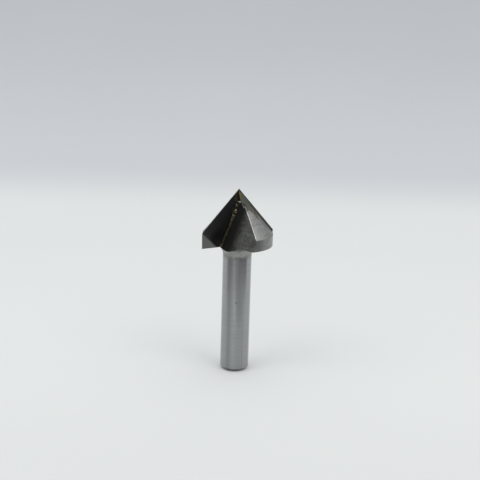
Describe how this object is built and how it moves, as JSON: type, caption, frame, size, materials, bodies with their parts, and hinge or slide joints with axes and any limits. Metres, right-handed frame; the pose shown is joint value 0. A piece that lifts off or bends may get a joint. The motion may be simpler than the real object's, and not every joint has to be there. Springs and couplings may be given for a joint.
{
  "type": "v groove router bit",
  "caption": "V groove router bit with a plain round shank, a gulleted steel head and brazed carbide cutting plates.",
  "frame": {"origin": "centre of the shank's foot", "axes": "+Z from the foot to the point, along the bit's own axis; the picture looks along +Y"},
  "size_m": [0.0194, 0.0176, 0.0522],
  "materials": {
    "steel": "turned and ground steel, satin",
    "carbide": "fine-ground tungsten carbide, dark and glossy",
    "braze": "dull brazing filler with flux stain"
  },
  "bodies": {
    "root": {"steel_body": "steel", "carbide_plate_1": "carbide", "carbide_plate_2": "carbide", "braze_layer_1": "braze", "braze_layer_2": "braze"}
  },
  "joints": []
}
